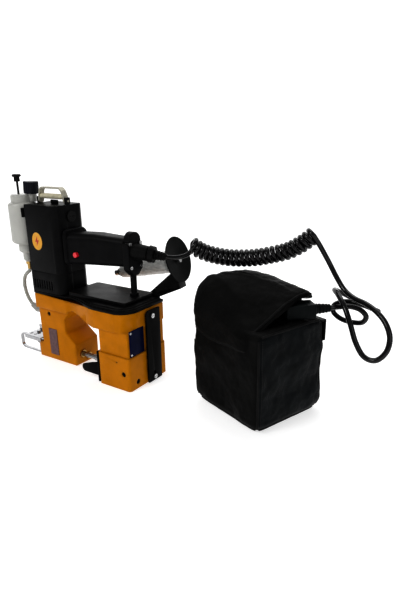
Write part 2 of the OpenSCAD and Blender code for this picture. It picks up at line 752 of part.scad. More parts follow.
module oil_plunger() color([0.06, 0.06, 0.07]) {
    post(plunger_xy, 236, 282, 1.6);
    post(plunger_xy, 281, 288, 4.5);
    translate([plunger_xy[0], plunger_xy[1], 288]) cylinder(h = 2.4, r1 = 6.2, r2 = 7.25);
    translate([plunger_xy[0], plunger_xy[1], 290.4]) cylinder(h = 1.6, r1 = 7.25, r2 = 5.8);
}

module bottle_strap() color(black) {
    difference() {
        post(bottle_xy, 229, 243, bottle_r + 2.4);
        post(bottle_xy, 220, 250, bottle_r + 0.2);
        translate([bottle_xy[0] - 45, bottle_xy[1] - 30, 225]) cube([62, 60, 20]);
    }
    translate([-185.6, bottle_xy[1] - 13, 229]) cube([9.5, 11, 14]);
}

module oil_nozzle() color(brass) union() {
    ring(bottle_xy, 151, 155, 5, 1.6);
    ring(bottle_xy, 143, 151.1, 3.4, 1.6);
}

module oil_tube() color([0.75, 0.75, 0.72]) swept_tube(oil_route, 2.8, 10);

module oil_fitting() color([0.6, 0.6, 0.58]) {
    difference() {
        union() {
            rod_x(leg_left - 7, leg_left - 0.05, fitting_at[1], fitting_at[2], 6);
            rod_x(fitting_at[0], leg_left + 4, fitting_at[1], fitting_at[2], 2.9);
            rod_x(fitting_at[0], leg_left - 6, fitting_at[1], fitting_at[2], 4.2);
            translate(fitting_at) sphere(4.4, $fn = 24);
            translate(fitting_at) rotate([0, -fitting_tilt, 0]) cylinder(h = 12, r = 4.4);
        }
        translate(fitting_at) rotate([0, -fitting_tilt, 0]) translate([0, 0, 7.5])
            cylinder(h = 9, r = 2.9);
    }
}

// --- Thread stand ----------------------------------------------------------

module spool_bracket() color(black) difference() {
    union() {
        translate([1, 42.3, 92]) cube([19, 2.6, 28]);
        // Level strip, running back to the foot of the upright
        hull() {
            translate([1.1, 42.4, 117.3]) cube([18.8, 2.4, 2.5]);
            on_rod() translate([40, -9.9, -6.4]) cube([2.8, 19.8, 2.4]);
        }
        // Gusset between the strip and the upright
        hull() {
            translate([2, 42.7, 117.6]) cube([2.4, 2, 3.4]);
            on_rod() translate([14, -9.8, -6.3]) cube([27.6, 2.2, 2.2]);
        }
        on_rod() translate([-10, -10, -6.5]) cube([53, 20, 2.6]);
    }
    on_rod() translate([0, 0, -20]) cylinder(h = 40, r = 3);
    for (x = [6, 15]) rod_y(x, 40, 46, 100, 2.2);
}

module spool_rod() color(steel) on_rod() union() {
    translate([0, 0, -118]) cylinder(h = 119, r = 2.9);
    translate([0, 0, -119]) cylinder(h = 6, r = 5);
    translate([0, 0, 1]) cylinder(h = 3, r = 4.5);
}

module spool_disc() color([0.16, 0.17, 0.17]) on_rod() rotate_extrude()
    polygon([[3, -3], [9, -3], [33.5, -0.5], [35, 0.5], [34.5, 1.6], [9, -0.9], [3, -0.9]]);

module thread_spool() color([0.85, 0.85, 0.84]) on_rod() difference() {
    union() {
        translate([0, 0, -112]) cylinder(h = 104, r1 = 5.5, r2 = 7);
        translate([0, 0, -106]) cylinder(h = 90, r1 = 10.5, r2 = 18);
        translate([0, 0, -16]) cylinder(h = 5, r1 = 18, r2 = 15);
    }
    translate([0, 0, -120]) cylinder(h = 130, r = 2.96);
}

// --- Hanger ----------------------------------------------------------------

module hanger_ears() color(black) {
    for (x = [bail_left - 3.8, bail_right + 0.3]) difference() {
        translate([x, hinge_y - 4.5, housing_top]) cube([3.5, 9, 10]);
        rod_x(x - 1, x + 5, hinge_y, hinge_z, 1.55);
    }
    translate([-148, hinge_y - 1.5, housing_top]) cube([15, 3, 5.8]);
}

// Outline of the bail's band above its hinge, drawn in by k on every side
function bail_outline(k) = [[bail_left + k, hinge_z], [bail_left + 0.7 + k, 262],
    [bail_left + 3.2 + 0.9 * k, 270 - 0.4 * k], [bail_left + 6.2 + 0.6 * k, 273.5 - 0.8 * k],
    [bail_left + 9.2, bail_top - k], [bail_right - 10.7, bail_top - k],
    [bail_right - 7.7 - 0.6 * k, 273.5 - 0.8 * k], [bail_right - 4.2 - 0.9 * k, 270 - 0.4 * k],
    [bail_right - 0.9 - k, 262], [bail_right - k, hinge_z]];

module hanger_bail() color([0.6, 0.6, 0.56]) {
    band_t = 2.4;
    difference() {
        along_y(bail_outline(0), hinge_y - 4.5, hinge_y + 4.5);
        along_y(concat(bail_outline(band_t), [[bail_right - band_t, 240], [bail_left + band_t, 240]]),
            hinge_y - 6, hinge_y + 6);
    }
    for (x = [bail_left, bail_right - band_t]) {
        rod_x(x, x + band_t, hinge_y, hinge_z, 4.5);
        rod_x(x < -140 ? x - 4.2 : x + 0.5, x < -140 ? x + 1 : x + 6.6, hinge_y, hinge_z, 1.5);
    }
    // Roller between the legs
    rod_x(bail_left + band_t - 0.1, bail_right - band_t + 0.1, hinge_y, 260.75, 3.75);
}

// --- Cord and battery pouch ------------------------------------------------

module cord_lead() color([0.04, 0.04, 0.05]) swept_tube(lead_route, cord_d / 2, 10);

module cord_coil() color([0.05, 0.05, 0.06]) swept_tube(coil_route, coil_d / 2, 12);

module cord_tail() color([0.04, 0.04, 0.05]) swept_tube(tail_route, cord_d / 2, 10);

module battery_plug() color([0.09, 0.1, 0.11]) translate(plug_at) rotate(plug_turn)
    rotate([0, 90, 0]) {
        translate([-9, -12, -20]) cube([18, 24, 40]);
        cylinder(h = 40, r1 = 7, r2 = 4.6);
    }

module battery_pouch() color([0.06, 0.06, 0.07]) on_pouch() {
    half_w = pouch_w / 2;
    half_d = pouch_d / 2;
    difference() {
        union() {
            rounded_prism(-half_w, -half_d, half_w, half_d, 0, pouch_h - 0.8, pouch_corner_r);
            // Flap: its foot round the body, then the ridge and the four corners
            hull() {
                for (x = [7 - half_w, half_w - 17], y = [7 - half_d, half_d - 12])
                    post([x, y], 100, 122, 8);
                post([8 - half_w, 10 - half_d], 120, 146, 9);
                for (y = [-24, 2]) post([12 - half_w, y], 150, 173, 10);
                post([12 - half_w, half_d - 14], 140, 166, 8);
                post([32, half_d - 14], 140, 160, 8);
                post([38, 24], 140, 160, 8);
                post([38, -4], 140, 152, 8);
                post([38, 12 - half_d], 110, 125, 8);
            }
        }
        translate([-half_w + pouch_wall, -half_d + pouch_wall, pouch_wall])
            cube([pouch_w - 2 * pouch_wall, pouch_d - 2 * pouch_wall, pouch_h - 2 * pouch_wall]);
        // Shelf for the plug, open to the right and to the back
        translate([16, -2, pouch_h - 0.8]) cube([60, 80, 21]);
    }
    // Belt loop on the back
    difference() {
        translate([36, half_d - 0.1, 92]) cube([22, 8.6, 29]);
        translate([35, half_d, 96]) cube([24, 6.6, 21]);
    }
}

module battery_pack() color([0.2, 0.35, 0.6]) on_pouch()
    rounded_prism(-54, -46, 54, 46, pouch_wall + gap, 116, 6);

body_casting();
motor_housing();
vent_housing();
top_cover();
raised_plate();
handle_grip();
handle_end_plate();
cover_screws();
cable_gland();
strain_relief();
switch_body();
side_cover_plate();
name_plate();
plate_rivets();
label_plate();
throat_plate();
bag_guide();
motor_stator();
brush_caps();
shaft_bearings();
bar_bushes();
presser_spring();
timing_belt();
oil_bottle();
bottle_strap();
oil_nozzle();
oil_tube();
oil_fitting();
spool_bracket();
spool_rod();
spool_disc();
hanger_ears();
cord_lead();
cord_coil();
cord_tail();
battery_plug();
battery_pouch();
battery_pack();
motor_rotor();
cooling_fan();
motor_pinion();
countershaft();
crankshaft();
crank_gear();
drive_pulley();
looper_shaft();
driven_pulley();
looper();
feed_dog();
needle_bar();
needle();
thread_takeup();
presser_bar();
presser_foot();
lifter_loop();
power_button();
thread_spool();
hanger_bail();
oil_cap();
oil_plunger();
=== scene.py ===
"""Looks of the portable bag closer: materials, soft pieces, cord, light and camera."""

import json
import math

import bmesh
import bpy
from mathutils import Matrix, Vector, noise

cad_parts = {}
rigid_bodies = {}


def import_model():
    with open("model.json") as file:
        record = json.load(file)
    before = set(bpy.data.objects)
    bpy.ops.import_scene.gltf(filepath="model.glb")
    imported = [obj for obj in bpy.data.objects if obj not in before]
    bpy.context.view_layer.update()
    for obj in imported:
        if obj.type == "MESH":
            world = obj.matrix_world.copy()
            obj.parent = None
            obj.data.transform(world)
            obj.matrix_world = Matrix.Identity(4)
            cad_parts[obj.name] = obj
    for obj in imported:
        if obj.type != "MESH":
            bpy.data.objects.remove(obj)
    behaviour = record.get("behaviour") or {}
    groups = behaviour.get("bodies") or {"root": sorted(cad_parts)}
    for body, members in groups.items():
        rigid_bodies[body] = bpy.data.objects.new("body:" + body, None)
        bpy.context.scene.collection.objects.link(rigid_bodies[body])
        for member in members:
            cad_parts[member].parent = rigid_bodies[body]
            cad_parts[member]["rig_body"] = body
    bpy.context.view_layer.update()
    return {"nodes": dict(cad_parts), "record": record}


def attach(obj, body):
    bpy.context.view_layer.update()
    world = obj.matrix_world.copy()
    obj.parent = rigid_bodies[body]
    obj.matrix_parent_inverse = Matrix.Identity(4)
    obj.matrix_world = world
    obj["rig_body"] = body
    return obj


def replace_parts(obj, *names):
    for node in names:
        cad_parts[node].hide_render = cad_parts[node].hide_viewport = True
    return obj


MM = 0.001
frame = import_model()


# --- Materials -------------------------------------------------------------------

BEVEL_SAMPLES = 4
FLAT_DOT = 0.99
SHARP_DOT = 0.8
BAND_SCALE = 0.314
RELIEF_DEPTH = 0.0003
COAT_ROUGHNESS = 0.12
LEAST_ROUGHNESS = 0.04
MIDDLE_NOISE = (0.3, 0.7)
BROKEN_NOISE = (0.45, 0.62)
SMUDGE_SCALE = 0.35


def mix_colours(tree, factor, low, high):
    """A colour between two others, each a colour or an output socket."""
    made = tree.nodes.new("ShaderNodeMix")
    made.data_type = "RGBA"
    tree.links.new(factor, made.inputs["Factor"])
    for socket, value in ((made.inputs["A"], low), (made.inputs["B"], high)):
        if isinstance(value, bpy.types.NodeSocket):
            tree.links.new(value, socket)
        else:
            socket.default_value = (*value, 1)
    return made.outputs["Result"]


def noise_field(tree, coords, scale, detail, stretch=(1, 1, 1)):
    """A noise value over the object's own coordinates, which stretch can draw out."""
    mapping = tree.nodes.new("ShaderNodeMapping")
    mapping.inputs["Scale"].default_value = stretch
    field = tree.nodes.new("ShaderNodeTexNoise")
    field.inputs["Scale"].default_value = scale
    field.inputs["Detail"].default_value = detail
    tree.links.new(coords, mapping.inputs["Vector"])
    tree.links.new(mapping.outputs["Vector"], field.inputs["Vector"])
    return field.outputs["Fac"]


def remap(tree, value, from_low, from_high, to_low, to_high):
    """A value moved from one range to another, and kept inside the second."""
    made = tree.nodes.new("ShaderNodeMapRange")
    for name, number in (("From Min", from_low), ("From Max", from_high),
                         ("To Min", to_low), ("To Max", to_high)):
        made.inputs[name].default_value = number
    tree.links.new(value, made.inputs["Value"])
    return made.outputs["Result"]


def arithmetic(tree, operation, first, second):
    """A sum, product or the like of two values, each a number or an output socket."""
    made = tree.nodes.new("ShaderNodeMath")
    made.operation = operation
    for socket, value in zip(made.inputs, (first, second)):
        if isinstance(value, bpy.types.NodeSocket):
            tree.links.new(value, socket)
        else:
            socket.default_value = value
    return made.outputs["Value"]


def rounded_edges(tree, radius):
    """A normal that rounds edges off, and a mask that is 1 on those edges."""
    bevel = tree.nodes.new("ShaderNodeBevel")
    bevel.samples = BEVEL_SAMPLES
    bevel.inputs["Radius"].default_value = radius
    flat = tree.nodes.new("ShaderNodeNewGeometry")
    dot = tree.nodes.new("ShaderNodeVectorMath")
    dot.operation = "DOT_PRODUCT"
    tree.links.new(bevel.outputs["Normal"], dot.inputs[0])
    tree.links.new(flat.outputs["Normal"], dot.inputs[1])
    return bevel.outputs["Normal"], remap(tree, dot.outputs["Value"], FLAT_DOT, SHARP_DOT, 0, 1)


def woven(tree, coords, pitch):
    """Height of a plain weave with that pitch in metres."""
    heights = []
    for direction in ("X", "Z"):
        wave = tree.nodes.new("ShaderNodeTexWave")
        wave.bands_direction = direction
        wave.inputs["Scale"].default_value = BAND_SCALE / pitch
        wave.inputs["Distortion"].default_value = 0.6
        tree.links.new(coords, wave.inputs["Vector"])
        heights.append(wave.outputs["Fac"])
    return arithmetic(tree, "MULTIPLY", *heights)


def surface(name, colour, rough, metal=0.0, vary=0.2, cloud=55, grain=1400, bump=0.2,
            coat=0.0, specular=0.5, edge=None, wear=0.4, rounding=0.7, stretch=(1, 1, 1),
            weave=0.0, clear=0.0, glow=0.0):
    """A worn procedural material; lengths in it are in metres except rounding, in millimetres."""
    made = bpy.data.materials.new(name)
    made.use_nodes = True
    tree = made.node_tree
    shader = tree.nodes["Principled BSDF"]
    coords = tree.nodes.new("ShaderNodeTexCoord").outputs["Object"]
    clouds = noise_field(tree, coords, cloud, 6, stretch)
    fine = noise_field(tree, coords, grain, 3, stretch)
    smudges = noise_field(tree, coords, cloud * SMUDGE_SCALE, 8)
    darker = [c * (1 - vary) for c in colour]
    lighter = [min(1, c * (1 + vary) + 0.002) for c in colour]
    tint = mix_colours(tree, remap(tree, clouds, *MIDDLE_NOISE, 0, 1), darker, lighter)
    normal, on_edge = rounded_edges(tree, rounding * MM)
    if edge:
        broken = arithmetic(tree, "MULTIPLY", on_edge,
                            remap(tree, smudges, *BROKEN_NOISE, 0, wear))
        tint = mix_colours(tree, broken, tint, edge)
    height = fine
    if weave:
        height = arithmetic(tree, "ADD", woven(tree, coords, weave), fine)
    relief = tree.nodes.new("ShaderNodeBump")
    relief.inputs["Strength"].default_value = bump
    relief.inputs["Distance"].default_value = RELIEF_DEPTH
    tree.links.new(height, relief.inputs["Height"])
    tree.links.new(normal, relief.inputs["Normal"])
    tree.links.new(relief.outputs["Normal"], shader.inputs["Normal"])
    tree.links.new(tint, shader.inputs["Base Color"])
    tree.links.new(remap(tree, smudges, *MIDDLE_NOISE,
                         max(LEAST_ROUGHNESS, rough - 0.09), rough + 0.1),
                   shader.inputs["Roughness"])
    shader.inputs["Metallic"].default_value = metal
    shader.inputs["Coat Weight"].default_value = coat
    shader.inputs["Coat Roughness"].default_value = COAT_ROUGHNESS
    shader.inputs["Specular IOR Level"].default_value = specular
    shader.inputs["Transmission Weight"].default_value = clear
    if glow:
        tree.links.new(tint, shader.inputs["Emission Color"])
        shader.inputs["Emission Strength"].default_value = glow
    return made


BARE = (0.22, 0.21, 0.20)
LOOKS = {
    "orange_paint": surface("orange_enamel", (0.5, 0.188, 0.0004), 0.3, vary=0.09, grain=700,
                            bump=0.2, coat=0.07, specular=0.03, edge=(0.72, 0.34, 0.03),
                            wear=0.5, rounding=3.2),
    "black_shell": surface("grained_shell", (0.0045, 0.0045, 0.005), 0.4, grain=1100, bump=0.35,
                           specular=0.07, edge=(0.03, 0.03, 0.032), rounding=2.4),
    "black_cover": surface("black_enamel", (0.003, 0.003, 0.0034), 0.36, bump=0.15, coat=0.02,
                           specular=0.06, edge=(0.09, 0.06, 0.04), wear=0.5, rounding=0.9),
    "black_sheet": surface("powder_coat", (0.002, 0.002, 0.002), 0.38, grain=900, bump=0.3,
                           specular=0.04, edge=BARE, wear=0.25, rounding=0.6),
    "black_rubber": surface("moulded_rubber", (0.005, 0.005, 0.005), 0.45, bump=0.2,
                            specular=0.09, rounding=0.8),
    "cord_black": surface("cord_jacket", (0.0025, 0.0025, 0.003), 0.15, vary=0.3, bump=0.08,
                          specular=0.4, rounding=0.1),
    # The button glows faintly with its own red though it is no lamp: painted light.
    "button_red": surface("red_button_painted_glow", (0.62, 0.006, 0.02), 0.2, coat=0.6, glow=0.15,
                          rounding=0.8),
    "plate_navy": surface("navy_print", (0.002, 0.004, 0.035), 0.35, bump=0.08, specular=0.05,
                          edge=BARE, wear=0.7, rounding=0.4),
    "label_brown": surface("brown_label", (0.12, 0.055, 0.06), 0.45, vary=0.35, cloud=260,
                           bump=0.08, rounding=0.3),
    "screw_steel": surface("zinc_plate", (0.55, 0.55, 0.55), 0.26, metal=1, vary=0.12,
                           cloud=300, bump=0.08, edge=(0.3, 0.29, 0.28), rounding=0.3),
    "chrome_steel": surface("polished_plate", (0.42, 0.42, 0.43), 0.14, metal=1, vary=0.15,
                            bump=0.05, edge=(0.3, 0.28, 0.26), rounding=0.5),
    "ground_steel": surface("ground_steel", (0.33, 0.33, 0.33), 0.3, metal=1, vary=0.18,
                            cloud=120, stretch=(0.1, 1, 1), bump=0.12, rounding=0.4),
    "gear_steel": surface("oiled_steel", (0.2, 0.19, 0.18), 0.35, metal=1, vary=0.25,
                          bump=0.15, edge=(0.5, 0.5, 0.5), rounding=0.3),
    "pulley_alloy": surface("turned_alloy", (0.5, 0.5, 0.51), 0.32, metal=1, vary=0.1,
                            bump=0.1, rounding=0.3),
    "bush_brass": surface("turned_brass", (0.5, 0.33, 0.12), 0.3, metal=1, vary=0.2,
                          cloud=200, bump=0.1, edge=(0.25, 0.16, 0.06), rounding=0.3),
    "belt_rubber": surface("belt_rubber", (0.01, 0.01, 0.01), 0.6, bump=0.3, specular=0.2),
    "stator_steel": surface("laminated_steel", (0.22, 0.22, 0.22), 0.4, metal=1, vary=0.3,
                            stretch=(1, 1, 8), bump=0.3),
    "rotor_copper": surface("wound_copper", (0.42, 0.18, 0.07), 0.35, metal=1, vary=0.3,
                            stretch=(1, 1, 6), bump=0.4),
    "brush_black": surface("cap_plastic", (0.006, 0.006, 0.006), 0.35, bump=0.15,
                           specular=0.12, rounding=0.6),
    "oiler_white": surface("milky_plastic", (0.5, 0.5, 0.47), 0.34, vary=0.07, cloud=35,
                           bump=0.08, clear=0.1, edge=(0.6, 0.6, 0.57), rounding=1.2),
    "cap_navy": surface("ribbed_cap", (0.004, 0.005, 0.013), 0.32, bump=0.12, specular=0.2,
                        rounding=0.6),
    "plunger_black": surface("knob_plastic", (0.005, 0.005, 0.005), 0.35, bump=0.15,
                             specular=0.12, rounding=0.6),
    "tube_clear": surface("cloudy_tube", (0.42, 0.42, 0.38), 0.25, vary=0.15, clear=0.2,
                          bump=0.06, rounding=0.2),
    "fitting_grey": surface("grey_elbow", (0.3, 0.3, 0.28), 0.4, vary=0.1, bump=0.12,
                            edge=(0.4, 0.4, 0.38), rounding=0.8),
    "bracket_black": surface("bracket_paint", (0.005, 0.005, 0.005), 0.3, bump=0.15,
                             specular=0.12, edge=BARE, wear=0.5, rounding=0.6),
    "disc_grey": surface("disc_plastic", (0.005, 0.0055, 0.0055), 0.38, vary=0.3, bump=0.15,
                         specular=0.04, edge=(0.05, 0.05, 0.05), rounding=0.5),
    "thread_white": surface("wound_thread", (0.62, 0.62, 0.6), 0.35, vary=0.25, cloud=120,
                            grain=2600, bump=0.5, coat=0.5, stretch=(1, 1, 3), rounding=0.2),
    "bail_grey": surface("ridged_alloy", (0.44, 0.42, 0.35), 0.42, metal=0.3, vary=0.22,
                         cloud=400, bump=0.35, edge=(0.55, 0.53, 0.46), rounding=0.7),
    "plug_grey": surface("plug_shell", (0.005, 0.007, 0.0075), 0.4, vary=0.2, bump=0.25,
                         specular=0.08, edge=(0.03, 0.035, 0.035), rounding=1.0),
    "pouch_fabric": surface("woven_nylon", (0.0034, 0.0034, 0.0032), 0.5, vary=0.45, cloud=30,
                            bump=0.6, specular=0.05, weave=0.0009, rounding=0.2),
    "pack_blue": surface("shrink_wrap", (0.03, 0.09, 0.25), 0.25, bump=0.1, rounding=1.0),
}
EXTRA = {
    # A lighter, bluer copy of the pouch fabric for the side facing local +X: painted light on that
    # side.
    "pouch_side_lit_tint": surface("painted_side_light", (0.0028, 0.0042, 0.0052), 0.42, vary=0.35, cloud=45,
                          bump=0.4, specular=0.07, weave=0.0007, rounding=0.2),
    "webbing": surface("nylon_webbing", (0.004, 0.004, 0.004), 0.5, vary=0.3, bump=0.6,
                       specular=0.12, weave=0.0016, rounding=0.3),
    "stitching": surface("stitch_thread", (0.018, 0.018, 0.018), 0.5, bump=0.3, specular=0.2,
                         rounding=0.1),
    "sticker": surface("yellow_print", (0.66, 0.33, 0.008), 0.35, vary=0.06, cloud=150,
                       bump=0.05, coat=0.2, rounding=0.1),
    "symbol": surface("red_print", (0.42, 0.02, 0.006), 0.35, vary=0.1, cloud=200, bump=0.05,
                      rounding=0.1),
    "cream": surface("cream_roller", (0.62, 0.58, 0.43), 0.4, vary=0.12, cloud=160, bump=0.15,
                     edge=(0.3, 0.27, 0.2), rounding=0.6),
    "film": surface("inner_tube", (0.07, 0.075, 0.055), 0.35, vary=0.3, bump=0.15),
}


# --- Meshes ----------------------------------------------------------------------

ROUND_STEPS = 3
MERGE_DISTANCE = 0.00002
FLAT_ANGLE = 1.5
BEVEL_ANGLE = 32


def place(name, mesh, material, body, crease=35):
    """A finished mesh, given in the row frame, riding on its body."""
    obj = bpy.data.objects.new(name, mesh)
    bpy.context.scene.collection.objects.link(obj)
    mesh.materials.clear()
    mesh.materials.append(material)
    mesh.shade_smooth()
    mesh.set_sharp_from_angle(angle=math.radians(crease))
    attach(obj, body)
    return obj


def as_mesh(name, shape):
    """A mesh made from a bmesh, which is freed."""
    mesh = bpy.data.meshes.new(name)
    bmesh.ops.recalc_face_normals(shape, faces=shape.faces)
    shape.to_mesh(mesh)
    shape.free()
    return mesh


def skinned(rings):
    """A closed skin through rings that all have the same number of points."""
    shape = bmesh.new()
    rings = [[shape.verts.new(point) for point in ring] for ring in rings]
    count = len(rings[0])
    for low, high in zip(rings, rings[1:]):
        for i in range(count):
            j = (i + 1) % count
            shape.faces.new((low[i], low[j], high[j], high[i]))
    shape.faces.new(reversed(rings[0]))
    shape.faces.new(rings[-1])
    return shape


def lathe(profile, matrix, steps=64, relief=None):
    """Turns (radius, height) pairs round the matrix's Z axis; relief adds to the radius."""
    rings = []
    for radius, height in profile:
        ring = []
        for i in range(steps):
            angle = 2 * math.pi * i / steps
            r = radius + (relief(angle, height) if relief else 0)
            ring.append(matrix @ (Vector((r * math.cos(angle), r * math.sin(angle), height)) * MM))
        rings.append(ring)
    return skinned(rings)


def add(shape, extra):
    """Adds one bmesh to another and frees the added one."""
    mesh = as_mesh("extra", extra)
    shape.from_mesh(mesh)
    bpy.data.meshes.remove(mesh)


def block(shape, size, matrix, radius):
    """Adds a box with rounded edges, its centre at the matrix's origin, in millimetres."""
    made = bmesh.ops.create_cube(shape, size=1)
    for vert in made["verts"]:
        vert.co = Vector((vert.co.x * size[0], vert.co.y * size[1], vert.co.z * size[2])) * MM
    edges = list({edge for vert in made["verts"] for edge in vert.link_edges})
    rounded = bmesh.ops.bevel(shape, geom=edges, offset=radius * MM, segments=ROUND_STEPS,
                              profile=0.5, affect="EDGES")
    verts = {vert for face in rounded["faces"] for vert in face.verts}
    verts |= {vert for vert in made["verts"] if vert.is_valid}
    for vert in verts:
        vert.co = matrix @ vert.co


def tube(route, radius, sides=10):
    """A closed tube round a route of points in metres."""
    rings = []
    across = Vector((0.3, 0, 1))
    for i, point in enumerate(route):
        tangent = (route[min(i + 1, len(route) - 1)] - route[max(i - 1, 0)]).normalized()
        across = (across - tangent * across.dot(tangent)).normalized()
        other = tangent.cross(across)
        angles = [2 * math.pi * k / sides for k in range(sides)]
        rings.append([point + radius * MM * (across * math.cos(a) + other * math.sin(a))
                      for a in angles])
    return skinned(rings)


def along(origin, direction):
    """The matrix whose Z axis runs along a direction from a point, both in millimetres."""
    turn = Vector(direction).to_track_quat("Z", "Y").to_matrix().to_4x4()
    return Matrix.Translation(Vector(origin) * MM) @ turn


def softened(node, width, shortest, clamp):
    """A copy of a CAD node, its edges rounded that are longer than shortest times the width."""
    source = frame["nodes"][node]
    shape = bmesh.new()
    shape.from_mesh(source.data)
    bmesh.ops.remove_doubles(shape, verts=shape.verts, dist=MERGE_DISTANCE)
    bmesh.ops.dissolve_limit(shape, angle_limit=math.radians(FLAT_ANGLE), verts=shape.verts,
                             edges=shape.edges)
    long_edges = [edge for edge in shape.edges
                  if len(edge.link_faces) == 2
                  and edge.calc_face_angle(0) > math.radians(BEVEL_ANGLE)
                  and edge.calc_length() > shortest * width * MM]
    bmesh.ops.bevel(shape, geom=long_edges, offset=width * MM, segments=ROUND_STEPS,
                    profile=0.5, affect="EDGES", clamp_overlap=clamp)
    mesh = bpy.data.meshes.new(node + "_look")
    shape.to_mesh(mesh)
    shape.free()
    slot = slots[node]
    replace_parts(place(node + "_look", mesh, LOOKS[slot], source["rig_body"]), node)


slots = {part["node"]: part["material_slot"] for part in frame["record"]["subparts"]}
for name, obj in frame["nodes"].items():
    obj.data.materials.clear()
    obj.data.materials.append(LOOKS[slots[name]])

CASTING_EDGE = 2.2
SHORTEST = 2.6
CASTING_SHORTEST = 4.4
SOFT_EDGES = {"top_cover": 0.7, "raised_plate": 1.2, "handle_end_plate": 1.0,
              "side_cover_plate": 0.7, "throat_plate": 0.5, "bag_guide": 0.5,
              "motor_housing": 1.6, "spool_bracket": 0.6, "hanger_ears": 0.8, "name_plate": 0.3,
              "lifter_loop": 0.6, "thread_takeup": 0.4, "bottle_strap": 0.6,
              "handle_grip": 2.5, "vent_housing": 0.6}
for name, width in SOFT_EDGES.items():
    softened(name, width, SHORTEST, True)
softened("body_casting", CASTING_EDGE, CASTING_SHORTEST, False)


# --- Routes ----------------------------------------------------------------------

def smooth(points, spacing):
    """A Catmull-Rom curve through points in millimetres, sampled at about that spacing."""
    knots = [Vector(point) for point in points]
    knots = [2 * knots[0] - knots[1]] + knots + [2 * knots[-1] - knots[-2]]
    out = []
    for a, b, c, d in zip(knots, knots[1:], knots[2:], knots[3:]):
        count = max(2, round((c - b).length / spacing))
        for i in range(count):
            t = i / count
            out.append(0.5 * (2 * b + (c - a) * t + (2 * a - 5 * b + 4 * c - d) * t * t
                              + (3 * b - a - 3 * c + d) * t ** 3))
    out.append(knots[-2])
    return out


def ease(t):
    """A smooth step from 0 to 1."""
    t = min(1, max(0, t))
    return t * t * (3 - 2 * t)


def coiled(axis, radius, turns, phase):
    """A helix round an axis of points in millimetres."""
    lengths = [0]
    for a, b in zip(axis, axis[1:]):
        lengths.append(lengths[-1] + (b - a).length)
    total = lengths[-1]
    steps = int(turns * TURN_POINTS)
    out = []
    across = Vector((0, 0, 1))
    k = 0
    for i in range(steps + 1):
        at = total * i / steps
        while k < len(axis) - 2 and lengths[k + 1] < at:
            k += 1
        centre = axis[k].lerp(axis[k + 1], (at - lengths[k]) / (lengths[k + 1] - lengths[k]))
        tangent = (axis[min(k + 2, len(axis) - 1)] - axis[max(k - 1, 0)]).normalized()
        across = (across - tangent * across.dot(tangent)).normalized()
        other = tangent.cross(across)
        angle = 2 * math.pi * turns * i / steps + phase
        out.append(centre + radius * (across * math.cos(angle) + other * math.sin(angle)))
    return out


CORD_D = 6.5
COIL_D = 24
TURNS = 24.5
TURN_POINTS = 28
COIL_START = 1.5 * math.pi
STEP = 2
LEAD = [(41.6, 28, 183.7), (48.1, 30.4, 182.8), (60, 36, 182.5), (70.5, 44, 185.5),
        (75.5, 50, 192)]
COIL_AXIS = [(80, 44, 201), (92, 50, 192.5), (108, 56, 187.5), (128, 62, 185), (148, 68, 185.5),
             (166, 74, 187.5), (185, 80, 192), (203, 86, 197.5), (219, 92, 207), (233, 98, 219)]
TAIL = [(244, 92.5, 207), (255, 98, 186), (268, 94, 168), (281, 88, 155),
        (296, 80, 149), (312, 72, 147), (327, 64, 142), (340, 56, 133), (348, 49, 119),
        (347, 44, 103), (337, 41, 91), (323, 42, 92), (311, 46, 106), (301, 53, 125),
        (290, 62, 142), (277, 75, 152), (267, 91, 153), (270, 107, 146), (284, 114, 138),
        (300, 113, 132), (312, 111, 129), (320, 104, 129.5), (317, 96, 133.5), (306, 92, 138),
        (291, 92, 140), (276, 96, 137), (265, 99, 129.5), (266, 97, 120.5), (279, 91, 115.5),
        (296, 85, 116), (308, 81, 120), (312, 79, 129), (304, 78.5, 136.5), (291, 77.5, 138.5),
        (280.5, 73.3, 137.3), (270.7, 65.8, 136.5)]
coil = coiled(smooth(COIL_AXIS, STEP), (COIL_D - CORD_D) / 2, TURNS, COIL_START)
line = smooth(LEAD + [coil[0]], STEP)[:-1] + coil + smooth([coil[-1]] + TAIL, STEP)[1:]


def cord_curve(name, points, diameter, material):
    """One open poly curve through points in millimetres, with a round section."""
    data = bpy.data.curves.new(name, "CURVE")
    data.dimensions = "3D"
    data.bevel_depth = diameter * MM / 2
    data.bevel_resolution = 4
    data.use_fill_caps = True
    spline = data.splines.new("POLY")
    spline.points.add(len(points) - 1)
    for target, point in zip(spline.points, points):
        target.co = (*(point * MM), 1)
    spline.use_smooth = True
    data.materials.append(material)
    obj = bpy.data.objects.new(name, data)
    bpy.context.scene.collection.objects.link(obj)
    return obj


power_cord = cord_curve("power_cord", line, CORD_D, LOOKS["cord_black"])
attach(power_cord, "frame")
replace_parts(power_cord, "cord_lead", "cord_coil", "cord_tail")


# --- Plug ------------------------------------------------------------------------

PLUG_AT = (241, 39, 136.5)
PLUG_TURN = math.radians(42)
PLUG_SIZE = (38, 23.6, 17.6)
PLUG_BAND = (3, 24, 18)
BAND_AT = 7.5
SLEEVE = [(6.6, 12), (6.6, 23), (5.2, 23.4), (5.2, 25), (6.3, 25.4), (6.3, 27.6), (4.9, 28),
          (4.9, 29.6), (5.9, 30), (5.9, 32), (4.7, 32.4), (4.7, 34), (5.5, 34.4), (5.5, 36.2),
          (4.5, 36.6), (4.5, 38.2), (5.1, 38.6), (4.7, 40)]


def plug_shape():
    """The plug's shell, and the ribbed sleeve that the cord leaves it through."""
    level = Matrix.Translation(Vector(PLUG_AT) * MM) @ Matrix.Rotation(PLUG_TURN, 4, "Z")
    shape = lathe(SLEEVE, along(PLUG_AT, (math.cos(PLUG_TURN), math.sin(PLUG_TURN), 0)), 32)
    block(shape, PLUG_SIZE, level, 1.8)
    block(shape, PLUG_BAND, level @ Matrix.Translation((BAND_AT * MM, 0, 0)), 0.8)
    return shape


plug = place("plug_shell", as_mesh("plug_shell", plug_shape()), LOOKS["plug_grey"], "frame")
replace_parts(plug, "battery_plug")


